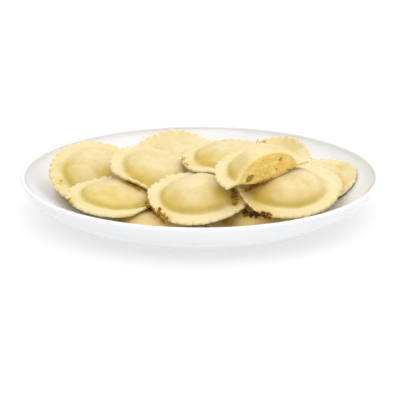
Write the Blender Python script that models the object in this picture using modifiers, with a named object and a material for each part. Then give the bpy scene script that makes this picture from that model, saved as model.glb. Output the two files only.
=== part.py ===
"""A round coupe plate heaped with serrated round ravioli, one of them cut open.

Metres, +Z up. The origin is on the table, under the middle of the plate, and
-Y is the side from which the heap is seen. Every raviolo has the same form, a
filled dome on a flat serrated border, and is a little uneven in its own way.
The ravioli are laid one after another: each has its place and its tilt, and is
let down until it rests on the plate or on the ravioli below it.
"""
import math
import random

import bmesh
import bpy
from mathutils import Matrix, Vector
from mathutils.bvhtree import BVHTree
from mathutils.geometry import interpolate_bezier

MM = 0.001

# Plate, turned about the Z axis
PLATE_RADIUS = 110.0 * MM
PLATE_HEIGHT = 27.0 * MM
PLATE_SEGMENTS = 48
FOOT_OUTER_RADIUS = 66.0 * MM
FOOT_WIDTH = 4.0 * MM
FOOT_RECESS = 1.6 * MM
WELL_HEIGHT = 4.4 * MM
WELL_RADIUS = 58.0 * MM
RIM_THICKNESS = 3.4 * MM
RIM_STEPS = 4
WALL_STEPS = 6
FOOT_SHOULDER = 0.8 * MM
FOOT_SLOPE = 1.0 * MM
# How far out and how high the curves of the inner and the outer wall are drawn
INNER_WALL_PULLS = ((80.0 * MM, 5.0 * MM), (100.5 * MM, 14.0 * MM))
OUTER_WALL_PULLS = ((104.5 * MM, 13.0 * MM), (84.0 * MM, 3.6 * MM))

# Raviolo: a round pillow of filling between two sheets of dough
RAVIOLO_RADIUS = 31.0 * MM
DOME_RADIUS = 22.0 * MM
BELLY_RADIUS = 21.0 * MM
DOME_HEIGHT = 8.8 * MM
BELLY_DEPTH = 3.6 * MM
BORDER_THICKNESS = 2.0 * MM
TOOTH_COUNT = 36
TOOTH_DEPTH = 1.5 * MM
DOME_SEGMENTS = 24
INNER_SEGMENTS = 12
INNER_RING = 0.42
DOME_RINGS = (0.72, 0.90)
BELLY_RING = 0.60
# Powers that make the dome's shoulder full, its foot steep and the underside round
DOME_SHOULDER = 2.6
DOME_FOOT = 0.8
BELLY_SHOULDER = 2.2
FILLING_FOOT = 0.7

# How uneven the ravioli are
OVALNESS = 0.025
SIZE_SPREAD = 0.02
LUMP = 0.10
LUMP_LEAST = 0.4
DOME_SHIFT = 0.8 * MM
WAVE = 0.9 * MM
WAVE_LEAST = 0.5
WAVE_ORDERS = (2, 3, 5)
CREASE_ANGLE = 40

# The raviolo that is cut open is a full one: its dome's height, the cut's side, its
# distance from the middle, and the dough around the filling
CUT_DOME_HEIGHT = 12.6 * MM
CUT_SIDE = -55
CUT_OFFSET = 3.0 * MM
SHEET_THICKNESS = 1.6 * MM
FILLING_GAP = 0.3 * MM
FILLING_PROUD = 0.5 * MM
FILLING_RINGS = (0.5, 0.85)
FILLING_SEGMENTS = 24

# Laying: the filled core rests first, and the soft border then bends to what is below
REST_GAP = 0.5 * MM
START_HEIGHT = 90.0 * MM
LIFT_STEP = 0.2 * MM
BORDER_SAG = 1.0 * MM
BORDER_LIFT = 6.0 * MM
BORDER_EVEN = 9.0 * MM
BEND_POWER = 1.4
BEND_DIRECTIONS = 72
BEND_REACHES = (0.35, 0.55, 0.75, 0.9, 1.0)

# Name, X and Y of the middle in mm, the direction in which it leans down, how far
# it leans, how it is turned, in degrees, and how full its dome is. The lowest come first.
LAYING_ORDER = (
    ("raviolo_back_centre", -13, 74, -90, 17, 10, 1.0),
    ("raviolo_back_right", 40, 63, -110, 16, 70, 1.0),
    ("raviolo_under_left", -57, 25, -20, 9, 35, 1.0),
    ("raviolo_right", 67, 27, -130, 15, 40, 1.0),
    ("raviolo_under_front_left", -26, -50, -90, 2, 15, 1.0),
    ("raviolo_under_front_right", 36, -50, -90, 4, 55, 1.0),
    ("raviolo_under_middle", 4, 12, -90, 6, 95, 1.0),
    ("raviolo_left", -62.4, 10, -64, 30, 130, 1.0),
    ("raviolo_front_left", -49.5, -32, -50, 6, 25, 0.75),
    ("raviolo_centre_left", -25.4, -8, -36, 21, 0, 1.0),
    ("raviolo_behind_front_right", 56, -3, -100, 12, 85, 1.0),
    ("raviolo_front_centre", -0.8, -48, -108, 14, 60, 1.0),
    ("raviolo_front_right", 53, -46, -92, 14.5, 20, 1.0),
    ("raviolo_centre_right", 19, -6, -100, 5, 110, 0.72),
)
CUT_PLACE = ("raviolo_cut", 39, -52, -85, 12, 0)
FILLING_NAME = "raviolo_filling"


def clear_scene():
    """Remove the objects of the scene."""
    for obj in list(bpy.data.objects):
        bpy.data.objects.remove(obj)


def new_collection(name):
    """Make a collection linked to the scene."""
    collection = bpy.data.collections.new(name)
    bpy.context.scene.collection.children.link(collection)
    return collection


def make_material(name, colour, roughness, subsurface=0.0):
    """Make a plain material of one colour."""
    material = bpy.data.materials.new(name)
    material.use_nodes = True
    shader = material.node_tree.nodes["Principled BSDF"]
    shader.inputs["Base Color"].default_value = (*colour, 1.0)
    shader.inputs["Roughness"].default_value = roughness
    shader.inputs["Metallic"].default_value = 0.0
    shader.inputs["Subsurface Weight"].default_value = subsurface
    material.diffuse_color = (*colour, 1.0)
    return material


def porcelain_material():
    """White glazed porcelain."""
    return make_material("white_porcelain", (0.86, 0.86, 0.85), 0.12)


def dough_material():
    """Cooked egg pasta dough, moist and pale yellow."""
    return make_material("pasta_dough", (0.84, 0.66, 0.32), 0.42, 0.2)


def filling_material():
    """Orange-yellow vegetable and cheese filling."""
    return make_material("pasta_filling", (0.78, 0.45, 0.12), 0.55, 0.2)


def plate_profile():
    """Half section of the plate, from its middle over the rim and down to the foot."""
    rim_radius = RIM_THICKNESS / 2
    rim_x = PLATE_RADIUS - rim_radius
    rim_z = PLATE_HEIGHT - rim_radius
    inner_wall = interpolate_bezier(
        Vector((WELL_RADIUS, 0, WELL_HEIGHT)),
        *[Vector((out, 0, up)) for out, up in INNER_WALL_PULLS],
        Vector((rim_x - rim_radius, 0, rim_z)),
        WALL_STEPS,
    )
    outer_wall = interpolate_bezier(
        Vector((PLATE_RADIUS, 0, rim_z)),
        *[Vector((out, 0, up)) for out, up in OUTER_WALL_PULLS],
        Vector((FOOT_OUTER_RADIUS, 0, FOOT_SHOULDER)),
        WALL_STEPS,
    )
    rim = []
    for step in range(1, RIM_STEPS):
        angle = math.pi * (1 - step / RIM_STEPS)
        rim.append(Vector((rim_x + rim_radius * math.cos(angle), 0, rim_z + rim_radius * math.sin(angle))))
    foot_inner = FOOT_OUTER_RADIUS - FOOT_WIDTH - FOOT_SLOPE
    foot = [
        Vector((FOOT_OUTER_RADIUS - FOOT_SHOULDER, 0, 0)),
        Vector((FOOT_OUTER_RADIUS - FOOT_WIDTH, 0, 0)),
        Vector((foot_inner, 0, FOOT_RECESS)),
        Vector((0, 0, FOOT_RECESS)),
    ]
    return [Vector((0, 0, WELL_HEIGHT))] + list(inner_wall) + rim + list(outer_wall) + foot


def make_plate(collection):
    """Turn the plate's section about the Z axis."""
    profile = plate_profile()
    mesh = bpy.data.meshes.new("plate")
    edges = [(index, index + 1) for index in range(len(profile) - 1)]
    mesh.from_pydata(profile, edges, [])
    plate = bpy.data.objects.new("plate", mesh)
    collection.objects.link(plate)
    turn = plate.modifiers.new("turn", "SCREW")
    turn.axis = "Z"
    turn.steps = PLATE_SEGMENTS
    turn.render_steps = PLATE_SEGMENTS
    turn.use_merge_vertices = True
    turn.merge_threshold = 0.00005
    turn.use_smooth_shade = True
    mesh.materials.append(porcelain_material())
    return plate


def dome_height(fraction):
    """Share of the dome's height that it has at a fraction of its radius."""
    return (1 - fraction ** DOME_SHOULDER) ** DOME_FOOT


def belly_depth(fraction):
    """Depth of the underside below the border at a fraction of its radius."""
    return BELLY_DEPTH * (1 - fraction ** BELLY_SHOULDER)


class Unevenness:
    """How one raviolo departs from the regular form, the same each run."""

    def __init__(self, seed, dome=DOME_HEIGHT):
        chance = random.Random(seed)
        self.dome = dome
        self.scale = 1 + chance.uniform(-SIZE_SPREAD, SIZE_SPREAD)
        self.oval = chance.uniform(-OVALNESS, OVALNESS)
        self.lump = chance.uniform(LUMP_LEAST, 1.0) * LUMP
        self.lump_turn = chance.uniform(0, math.tau)
        self.wave = chance.uniform(WAVE_LEAST, 1.0) * WAVE
        self.wave_turns = [chance.uniform(0, math.tau) for _ in WAVE_ORDERS]
        self.dome_shift = Vector((chance.uniform(-1, 1), chance.uniform(-1, 1), 0)) * DOME_SHIFT

    @classmethod
    def none(cls):
        """A perfectly regular form."""
        even = cls(0)
        even.scale = 1
        even.oval = 0
        even.lump = 0
        even.wave = 0
        even.dome_shift = Vector()
        return even

    def border_wave(self, radius, angle):
        """Rise of the thin border, which grows outwards from the dome."""
        reach = max(0.0, (radius - DOME_RADIUS) / (RAVIOLO_RADIUS - DOME_RADIUS))
        swing = 0.0
        for order, turn in zip(WAVE_ORDERS, self.wave_turns):
            swing += math.cos(order * angle + turn) / order
        return self.wave * reach * swing

    def moved(self, radius, angle, height):
        """The uneven place of a point given by radius, angle and height."""
        height = height * (1 + self.lump * math.cos(angle + self.lump_turn) * radius / DOME_RADIUS)
        point = Vector((radius * math.cos(angle), radius * math.sin(angle), height))
        shift = max(0.0, 1 - radius / RAVIOLO_RADIUS)
        point += self.dome_shift * shift
        point.z += self.border_wave(radius, angle)
        point.x *= self.scale * (1 + self.oval)
        point.y *= self.scale * (1 - self.oval)
        return point


def ring(bm, radius, height, count, uneven):
    """A closed ring of vertices at one radius and height."""
    vertices = []
    for index in range(count):
        angle = math.tau * index / count
        vertices.append(bm.verts.new(uneven.moved(radius, angle, height)))
    return vertices


def tooth_ring(bm, height, uneven):
    """The serrated outer edge, a tip and a root for each tooth."""
    vertices = []
    for index in range(2 * TOOTH_COUNT):
        angle = math.tau * index / (2 * TOOTH_COUNT)
        radius = RAVIOLO_RADIUS - (index % 2) * TOOTH_DEPTH
        vertices.append(bm.verts.new(uneven.moved(radius, angle, height)))
    return vertices


def bridge(bm, upper, lower):
    """Join two rings, where the lower has a whole number of times as many points."""
    share = len(lower) // len(upper)
    for index, vertex in enumerate(upper):
        following = upper[(index + 1) % len(upper)]
        first = index * share
        middle = first + share // 2
        for step in range(first, first + share):
            pivot = vertex if step <= middle else following
            if share == 1:
                bm.faces.new((vertex, lower[step], lower[(step + 1) % len(lower)], following))
            else:
                bm.faces.new((pivot, lower[step], lower[(step + 1) % len(lower)]))
        if share > 1:
            bm.faces.new((vertex, lower[(middle + 1) % len(lower)], following))


def fan(bm, middle, loop):
    """Close a ring with triangles from its middle."""
    for index, vertex in enumerate(loop):
        bm.faces.new((middle, vertex, loop[(index + 1) % len(loop)]))


def dome_rings(bm, uneven):
    """The rings of the dome, from near its top down to its foot."""
    half = BORDER_THICKNESS / 2
    height = half + uneven.dome * dome_height(INNER_RING)
    rings = [ring(bm, INNER_RING * DOME_RADIUS, height, INNER_SEGMENTS, uneven)]
    for fraction in DOME_RINGS:
        height = half + uneven.dome * dome_height(fraction)
        rings.append(ring(bm, fraction * DOME_RADIUS, height, DOME_SEGMENTS, uneven))
    rings.append(ring(bm, DOME_RADIUS, half, DOME_SEGMENTS, uneven))
    return rings


def belly_rings(bm, uneven):
    """The rings of the underside, from its edge inwards."""
    half = BORDER_THICKNESS / 2
    edge = ring(bm, BELLY_RADIUS, -half, DOME_SEGMENTS, uneven)
    depth = -half - belly_depth(BELLY_RING)
    return [edge, ring(bm, BELLY_RING * BELLY_RADIUS, depth, INNER_SEGMENTS, uneven)]


def close_body(bm, rings, uneven):
    """Join the rings of a raviolo in turn and close it at the top and the bottom."""
    half = BORDER_THICKNESS / 2
    top = bm.verts.new(uneven.moved(0, 0, half + uneven.dome))
    bottom = bm.verts.new(uneven.moved(0, 0, -half - BELLY_DEPTH))
    fan(bm, top, rings[0])
    fan(bm, bottom, rings[-1])
    for upper, lower in zip(rings, rings[1:]):
        if len(upper) > len(lower):
            bridge(bm, lower, upper)
        else:
            bridge(bm, upper, lower)
    bmesh.ops.recalc_face_normals(bm, faces=bm.faces)


def core_mesh(uneven):
    """The filled middle of a raviolo, without its border."""
    bm = bmesh.new()
    close_body(bm, dome_rings(bm, uneven) + belly_rings(bm, uneven), uneven)
    mesh = bpy.data.meshes.new("core")
    bm.to_mesh(mesh)
    bm.free()
    return mesh


def raviolo_mesh(name, uneven, bends, place):
    """The closed body of one raviolo, its dome up, its border bent up or down."""
    bm = bmesh.new()
    half = BORDER_THICKNESS / 2
    upward = place.to_3x3().transposed() @ Vector((0, 0, 1))
    edges = []
    for height in (half, -half):
        edge = tooth_ring(bm, height, uneven)
        for vertex, bend in zip(edge, bends):
            vertex.co += upward * bend
        edges.append(edge)
    close_body(bm, dome_rings(bm, uneven) + edges + belly_rings(bm, uneven), uneven)
    mesh = bpy.data.meshes.new(name)
    bm.to_mesh(mesh)
    bm.free()
    mesh.shade_smooth()
    mesh.set_sharp_from_angle(angle=math.radians(CREASE_ANGLE))
    return mesh


def slice_off(mesh, offset):
    """Cut away the side of a closed mesh beyond an upright plane, and close the cut."""
    side = math.radians(CUT_SIDE)
    normal = Vector((math.cos(side), math.sin(side), 0))
    bm = bmesh.new()
    bm.from_mesh(mesh)
    everything = list(bm.verts) + list(bm.edges) + list(bm.faces)
    bmesh.ops.bisect_plane(
        bm, geom=everything, dist=0.01 * MM, plane_co=normal * offset, plane_no=normal, clear_outer=True
    )
    rim = [edge for edge in bm.edges if edge.is_boundary]
    bmesh.ops.holes_fill(bm, edges=rim, sides=0)
    bmesh.ops.recalc_face_normals(bm, faces=bm.faces)
    bm.to_mesh(mesh)
    bm.free()


def filling_mesh(name, gap):
    """The pillow of filling inside a raviolo, smaller than its room by a gap."""
    bm = bmesh.new()
    half = BORDER_THICKNESS / 2
    radius = DOME_RADIUS - SHEET_THICKNESS - gap
    upper = half + CUT_DOME_HEIGHT - SHEET_THICKNESS - gap
    lower = half + BELLY_DEPTH - SHEET_THICKNESS - gap
    even = Unevenness.none()
    rings = []
    for fraction in FILLING_RINGS:
        height = upper * (1 - fraction ** DOME_SHOULDER) ** FILLING_FOOT
        rings.append(ring(bm, fraction * radius, height, FILLING_SEGMENTS, even))
    rings.append(ring(bm, radius, 0, FILLING_SEGMENTS, even))
    for fraction in reversed(FILLING_RINGS):
        height = -lower * (1 - fraction ** DOME_SHOULDER) ** FILLING_FOOT
        rings.append(ring(bm, fraction * radius, height, FILLING_SEGMENTS, even))
    top = bm.verts.new((0, 0, upper))
    bottom = bm.verts.new((0, 0, -lower))
    fan(bm, top, rings[0])
    fan(bm, bottom, rings[-1])
    for outer, inner in zip(rings, rings[1:]):
        bridge(bm, outer, inner)
    bmesh.ops.recalc_face_normals(bm, faces=bm.faces)
    mesh = bpy.data.meshes.new(name)
    bm.to_mesh(mesh)
    bm.free()
    return mesh


def lean(direction, amount, turn):
    """Rotation that lowers the side facing a direction and turns the raviolo in its plane."""
    heading = Matrix.Rotation(math.radians(direction), 4, "Z")
    tilt = Matrix.Rotation(math.radians(amount), 4, "Y")
    spin = Matrix.Rotation(math.radians(turn - direction), 4, "Z")
    return heading @ tilt @ spin


class Heap:
    """What already lies on the plate, for the next raviolo to rest on."""

    def __init__(self, plate):
        depsgraph = bpy.context.evaluated_depsgraph_get()
        mesh = plate.evaluated_get(depsgraph).to_mesh()
        self.points = []
        self.faces = []
        self.add(mesh, Matrix.Identity(4))

    def add(self, mesh, matrix):
        """Add a mesh to what lies on the plate."""
        first = len(self.points)
        self.points += [matrix @ vertex.co for vertex in mesh.vertices]
        self.faces += [[first + index for index in face.vertices] for face in mesh.polygons]
        self.tree = BVHTree.FromPolygons(self.points, self.faces)

    def height(self, x, y):
        """Height of the heap's upper surface over a point of the table."""
        hit = self.tree.ray_cast(Vector((x, y, START_HEIGHT)), Vector((0, 0, -1)))
        return 0.0 if hit[0] is None else hit[0].z

    def fall(self, core, matrix):
        """How far a core can be let down before it rests on the heap."""
        points = [matrix @ vertex.co for vertex in core.vertices]
        faces = [list(face.vertices) for face in core.polygons]
        own = BVHTree.FromPolygons(points, faces)
        middles = [sum((points[i] for i in face), Vector()) / len(face) for face in faces]
        distances = [point.z - self.height(point.x, point.y) for point in points + middles]
        low_x, high_x = min(p.x for p in points), max(p.x for p in points)
        low_y, high_y = min(p.y for p in points), max(p.y for p in points)
        for point in self.points:
            if low_x <= point.x <= high_x and low_y <= point.y <= high_y:
                hit = own.ray_cast(point, Vector((0, 0, 1)))
                if hit[0] is not None:
                    distances.append(hit[3])
        return min(distances) - REST_GAP

    def border_bends(self, place, uneven):
        """Rise or sag of the border's edge in each direction, to lie on what is below."""
        needs = []
        for index in range(BEND_DIRECTIONS):
            angle = math.tau * index / BEND_DIRECTIONS
            need = -BORDER_SAG
            for reach in BEND_REACHES:
                radius = DOME_RADIUS + reach * (RAVIOLO_RADIUS - DOME_RADIUS)
                point = place @ uneven.moved(radius, angle, -BORDER_THICKNESS / 2)
                short = self.height(point.x, point.y) + 2 * REST_GAP - point.z
                need = max(need, short / reach ** BEND_POWER)
            needs.append(need)
        bends = []
        for index in range(BEND_DIRECTIONS):
            bend = -BORDER_SAG
            for other, need in enumerate(needs):
                apart = abs(index - other)
                apart = min(apart, BEND_DIRECTIONS - apart)
                bend = max(bend, need - apart * BORDER_EVEN * math.tau / BEND_DIRECTIONS)
            bends.append(bend)
        return bends

    def touches(self, mesh, matrix):
        """Whether a mesh cuts into the heap."""
        points = [matrix @ vertex.co for vertex in mesh.vertices]
        faces = [list(face.vertices) for face in mesh.polygons]
        return bool(self.tree.overlap(BVHTree.FromPolygons(points, faces)))

    def lay(self, name, uneven, x, y, rotation, is_cut=False):
        """Lay a raviolo down, and return its bent mesh and its place."""
        start = Matrix.Translation((x * MM, y * MM, START_HEIGHT)) @ rotation
        core = core_mesh(uneven)
        if is_cut:
            slice_off(core, CUT_OFFSET)
        place = Matrix.Translation((0, 0, -self.fall(core, start))) @ start
        bpy.data.meshes.remove(core)
        bends = self.border_bends(place, uneven)
        while max(bends) > BORDER_LIFT:
            place = Matrix.Translation((0, 0, LIFT_STEP)) @ place
            bends = self.border_bends(place, uneven)
        mesh = raviolo_mesh(name, uneven, bends, place)
        if is_cut:
            slice_off(mesh, CUT_OFFSET)
        while self.touches(mesh, place):
            place = Matrix.Translation((0, 0, LIFT_STEP)) @ place
        self.add(mesh, place)
        return mesh, place


def make_raviolo(name, mesh, place, material, collection):
    """Put one raviolo's mesh in its place."""
    raviolo = bpy.data.objects.new(name, mesh)
    collection.objects.link(raviolo)
    raviolo.matrix_world = place
    mesh.materials.append(material)
    return raviolo


def hollow(raviolo, room):
    """Take the filling's room out of a cut raviolo."""
    cut = raviolo.modifiers.new("filling_room", "BOOLEAN")
    cut.operation = "DIFFERENCE"
    cut.solver = "EXACT"
    cut.object = room


def make_filling_room(place, collection):
    """The hollow that the filling lies in, as a cutter."""
    room = bpy.data.objects.new("filling_room", filling_mesh("filling_room", 0.0))
    collection.objects.link(room)
    room.matrix_world = place
    room.hide_render = True
    room.display_type = "WIRE"
    return room


def make_filling(place, collection):
    """The filling, which shows at the cut and stands a little proud of the dough there."""
    mesh = filling_mesh(FILLING_NAME, FILLING_GAP)
    slice_off(mesh, CUT_OFFSET + FILLING_PROUD)
    mesh.materials.append(filling_material())
    filling = bpy.data.objects.new(FILLING_NAME, mesh)
    collection.objects.link(filling)
    filling.matrix_world = place
    return filling


def main():
    clear_scene()
    dish = new_collection("ravioli_on_plate")
    cutters = new_collection("cutters")
    plate = make_plate(dish)
    dough = dough_material()
    heap = Heap(plate)
    for seed, (name, x, y, direction, amount, turn, fullness) in enumerate(LAYING_ORDER):
        uneven = Unevenness(seed, fullness * DOME_HEIGHT)
        mesh, place = heap.lay(name, uneven, x, y, lean(direction, amount, turn))
        make_raviolo(name, mesh, place, dough, dish)
    name, x, y, direction, amount, turn = CUT_PLACE
    uneven = Unevenness(len(LAYING_ORDER), CUT_DOME_HEIGHT)
    mesh, place = heap.lay(name, uneven, x, y, lean(direction, amount, turn), is_cut=True)
    opened = make_raviolo(name, mesh, place, dough, dish)
    hollow(opened, make_filling_room(place, cutters))
    make_filling(place, dish)


main()
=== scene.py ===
"""A plate of ravioli, made ready to serve.

The plate is turned in fine porcelain. Each raviolo is pressed from one pattern, a filled
dome on a fluted border, and is then laid where its solid lies: it takes the tilt, the size
and the bends of the solid's border, and gets its own wrinkles and dents. The open raviolo
is cut through, with its filling and chopped herbs showing. Browned crumbs lie in the gaps,
the darkest of them standing in for the deep shade there as painted shade. Brown butter
colours the dough around them, darkened as painted shade in the gaps, and painted golden
shade lies in the dents, in the creases and on the low side of each dome.
"""
import math

import bmesh
import bpy
import numpy as np
from mathutils import Matrix, Vector, noise
from mathutils.bvhtree import BVHTree
from mathutils.kdtree import KDTree


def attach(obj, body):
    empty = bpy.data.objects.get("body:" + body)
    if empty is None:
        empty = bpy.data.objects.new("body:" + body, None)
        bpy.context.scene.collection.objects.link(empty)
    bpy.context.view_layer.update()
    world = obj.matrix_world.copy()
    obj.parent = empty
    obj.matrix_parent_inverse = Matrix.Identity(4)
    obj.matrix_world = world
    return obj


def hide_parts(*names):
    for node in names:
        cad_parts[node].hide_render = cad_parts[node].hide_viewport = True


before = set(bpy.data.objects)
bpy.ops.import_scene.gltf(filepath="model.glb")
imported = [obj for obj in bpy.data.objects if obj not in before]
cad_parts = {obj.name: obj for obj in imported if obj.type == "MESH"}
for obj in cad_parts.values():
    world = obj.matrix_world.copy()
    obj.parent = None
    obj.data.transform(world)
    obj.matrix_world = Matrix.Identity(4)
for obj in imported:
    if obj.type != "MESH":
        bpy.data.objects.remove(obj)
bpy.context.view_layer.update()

MM = 0.001
# Corners closer than this are one
WELD = 0.001 * MM

# The plate's foot ring: its rounded shoulder, and the slope into its recess
FOOT_SHOULDER = 0.8 * MM
FOOT_SLOPE = 1.0 * MM
# Pulls of the curves of the inner and the outer wall, out and up
INNER_WALL_PULLS = ((80.0 * MM, 5.0 * MM), (100.5 * MM, 14.0 * MM))
OUTER_WALL_PULLS = ((104.5 * MM, 13.0 * MM), (84.0 * MM, 3.6 * MM))
# Pulls that make a curve one unit in radius a quarter circle, and a level curve straight
ROUND_PULL = 0.5523
LEVEL_PULLS = (0.3, 0.7)
# Pulls round the foot ring's outer edge, beneath it, and out of it into the recess
FOOT_PULLS = (0.44 * MM, 0.8 * MM, 0.5 * MM, 0.4 * MM)

# The pattern that every raviolo is pressed from
BORDER_RADIUS = 31.0 * MM
DOME_RADIUS = 22.0 * MM
FULL_DOME_HEIGHT = 12.6 * MM
BELLY_DEPTH = 3.6 * MM
BORDER_THICKNESS = 2.0 * MM
HALF_BORDER = BORDER_THICKNESS / 2
TOOTH_BAND = 4.2 * MM
# Powers that shape the dome's shoulder and foot, the underside and the notches between the
# teeth, and that set the rows closer towards the edge
DOME_SHOULDER = 2.6
DOME_FOOT = 0.8
BELLY_SHOULDER = 2.2
TOOTH_POWER = 0.75
ROW_POWER = 1.35
# The pillow of filling: its power at the foot, and of the rows towards its edge
FILLING_FOOT = 0.7
FILLING_ROW_POWER = 1.6

# How the dough is uneven: length of the wave, height, its own seed and its octaves
WAVES = {
    "swell": (14.0 * MM, 0.85 * MM, 0, 2),
    "pucker": (1.7 * MM, 0.32 * MM, 40, 2),
    "slack": (6.5 * MM, 0.24 * MM, 60, 3),
    "fine": (2.4 * MM, 0.05 * MM, 80, 2),
    "flutter": (9.0 * MM, 0.45 * MM, 120, 2),
    "nip": (3.4 * MM, 0.35 * MM, 200, 2),
    "ragged_cut": (3.6 * MM, 0.55 * MM, 300, 3),
    "grainy_cut": (1.1 * MM, 0.14 * MM, 301, 2),
    "spill": (5.0 * MM, 0.45 * MM, 302, 2),
}
# The teeth are also turned a little out of their even spacing, in radians
TOOTH_TURN = 0.07
TOOTH_TURN_WAVE = 11.0 * MM
TOOTH_TURN_SEED = 160
# Puckers run outwards from the dome: how far apart they are, how slowly they change, and
# the band at the dome's foot where they are deepest
PUCKER_RING = 4.6 * MM
PUCKER_RUN = 60.0 * MM
PUCKER_BAND = 2.6 * MM

# The cut through the open raviolo
CUT_OFFSET = 3.0 * MM
SHEET_THICKNESS = 1.6 * MM
SHEET_ALLOWANCE = 0.3 * MM
FILLING_PROUD = 0.5 * MM
CUT_GRAIN = 0.42 * MM
CUT_SOFTENING = 2
STAIN_WIDTH = 3.5 * MM
ROOM_SHARE = 0.975
SPILL = 0.75 * MM

# The side of each dome that lies low, away from the light, gets painted shade: darker golden tones on
# its side and its crease
LEAN_PULL = 2.0
SHADE_SIDE = Vector((-0.55, -0.65, 0.0))
DENT_SHADE_STRENGTH = 0.85
CREASE_SHARE = 0.985
CREASE_BAND = 1.7 * MM
# How much of the painted golden shade the high side of the dome and of its crease still gets
SIDE_LEAST = 0.25
CREASE_LEAST = 0.08

# Where one thing passes into another
BANDS = {
    # in shares of the border's radius
    "teeth": (0.78, 1.0),
    "oval": (0.2, 1.0),
    # in shares of the dome's radius
    "off_dome": (0.9, 1.1),
    "on_border": (1.0, 1.3),
    "dome_side": (0.3, 1.0),
    "dome_colour_ends": (0.92, 1.1),
    "border_colour": (1.03, 1.18),
    # in the cosine of the way round from straight downhill
    "downhill": (-0.75, 0.75),
    # in metres out to the cut, and up from the border's level
    "near_cut": (CUT_OFFSET - 1.2 * MM, CUT_OFFSET + FILLING_PROUD * 0.8),
    "spilling": (-1.0 * MM, 3.0 * MM),
}

# Directions in which a border is measured, how far to each side a tooth counts, and how
# late towards the teeth the border bends
BORDER_DIRECTIONS = 145
BORDER_SPAN = 0.07
BEND_POWER = 1.25

# How brightly the room glows from above, the front, the back, the left and the right
ROOM_LIGHT = (
    ("Z", 1.0, 1.62),
    ("Y", -1.0, 0.40),
    ("Y", 1.0, 0.58),
    ("X", -1.0, 0.42),
    ("X", 1.0, 0.70),
)
SOFTBOX_SIZE = 1.0
# Place and power of each softbox
SOFTBOXES = {
    "softbox_upper_right": ((0.75, 0.55, 1.05), 1.8),
    "softbox_front": ((-0.15, -0.95, 0.95), 4.2),
}
FLOOR_GLOW = 0.50
FLOOR_SPAN = 6.0

# The camera: how far it stands off, how high it looks from, and its lens
VIEW_DISTANCE = 2.42
VIEW_TILT = math.radians(16.8)
VIEW_CENTRE = Vector((0, 0, 27 * MM))
LENS = 356.5
LENS_SHIFT = -0.0645

# Direction, share of the radius, width and depth of each dent, both in millimetres; each dent also gets
# a painted golden shade, stronger as it is deeper
DENTS = {
    "raviolo_centre_right": ((211, 0.64, 6.5, 1.4), (222, 0.50, 4.0, 0.4)),
    "raviolo_front_right": ((214, 0.68, 7.0, 0.9), (328, 0.36, 3.0, 0.5)),
    "raviolo_left": ((285, 0.22, 6.5, 1.2), (177, 0.68, 4.5, 0.9)),
    "raviolo_front_centre": ((329, 0.48, 6.0, 1.0), (350, 0.62, 5.5, 0.85), (217, 0.67, 6.0, 0.6)),
    "raviolo_front_left": ((251, 0.36, 10.0, 0.6), (216, 0.63, 6.0, 0.5)),
    "raviolo_centre_left": (
        (208, 0.72, 2.8, 0.7), (222, 0.72, 3.0, 0.8), (237, 0.72, 3.3, 0.9), (252, 0.71, 3.7, 1.0),
    ),
    "raviolo_behind_front_right": ((20, 0.62, 6.0, 0.9),),
    "raviolo_back_centre": ((300, 0.60, 7.0, 0.8),),
    "raviolo_back_right": ((43, 0.85, 6.0, 0.5), (240, 0.62, 7.0, 0.8)),
    "raviolo_right": ((31, 0.74, 6.0, 0.6), (330, 0.62, 7.0, 0.9)),
    "raviolo_cut": ((205, 0.62, 6.0, 0.5),),
}

# Larger bits of leaf on the cut, in millimetres: along it, up from the border, length,
# width, thickness, and turn in degrees
LEAF_BITS = {
    "leaf_bit_large": (-14.3, 1.2, 4.6, 3.6, 1.5, 20),
    "leaf_bit_fold": (-12.2, 2.6, 2.6, 1.4, 1.0, -35),
    "leaf_bit_upper": (8.2, 8.0, 2.7, 2.0, 1.2, 60),
    "leaf_bit_small": (15.2, -1.6, 1.5, 0.9, 0.7, 10),
    "leaf_bit_middle": (5.6, 1.8, 1.6, 0.9, 0.7, 120),
}

# Where the brown crumbs gather, facing the dish from the front, in millimetres: across, up,
# length and width of the patch, its slope in degrees, how many crumbs, how long each is,
# and how pale from 0 to 1. The darkest patches stand in for the deep shade of the gaps as painted shade
CRUMB_PATCHES = {
    "front_gap": (34.0, -24.0, 16.5, 3.2, 0, 62, 2.5, 0.08),
    "left_gap": (-26.4, -22.6, 17.0, 3.0, -35, 76, 2.2, 0.36),
    "middle_gap": (20.6, -14.0, 9.5, 2.8, 92, 52, 2.0, 0.42),
    "under_cut": (34.5, -6.2, 18.0, 1.3, 27, 64, 1.7, 0.46),
    "far_left_edge": (-78.0, -16.5, 6.0, 2.2, -32, 14, 1.5, 0.5),
    "left_overlap": (-41.3, -6.4, 13.0, 1.4, -33, 18, 1.3, 0.75),
    "centre_overlap": (-9.5, 8.0, 8.0, 1.4, -60, 12, 1.2, 0.8),
    "left_edge": (-85.0, -4.5, 4.0, 1.5, 60, 4, 0.9, 0.8),
    "back_right_edge": (37.0, 20.0, 9.0, 2.0, 0, 9, 1.2, 0.9),
}
# How far a scattered bit is turned either way, in radians
BIT_TURN = 3.14
CRUMB_SEED = 11
CRUMB_SIZES = (0.5, 1.2)
CRUMB_SPREAD = 0.33
CRUMB_LIFT = 0.12
TONE_SPREAD = 0.1
THROW_DISTANCE = 0.4
# How far the brown butter, with its painted gap shade, runs from the nearest crumbs, and how strongly
# it colours
BUTTER_REACH = 2.6 * MM
BUTTER_STRENGTH = 0.9
BUTTER_CRUMBS = 4


# ---- objects


def in_scene(name, data):
    """A new object in the scene, around the given data."""
    thing = bpy.data.objects.new(name, data)
    bpy.context.scene.collection.objects.link(thing)
    return thing


def plain_mesh(holder):
    """The mesh that an object's modifiers make. The object itself goes."""
    bpy.context.view_layer.update()
    evaluated = holder.evaluated_get(bpy.context.evaluated_depsgraph_get())
    mesh = bpy.data.meshes.new_from_object(evaluated)
    bpy.data.objects.remove(holder)
    return mesh


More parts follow.
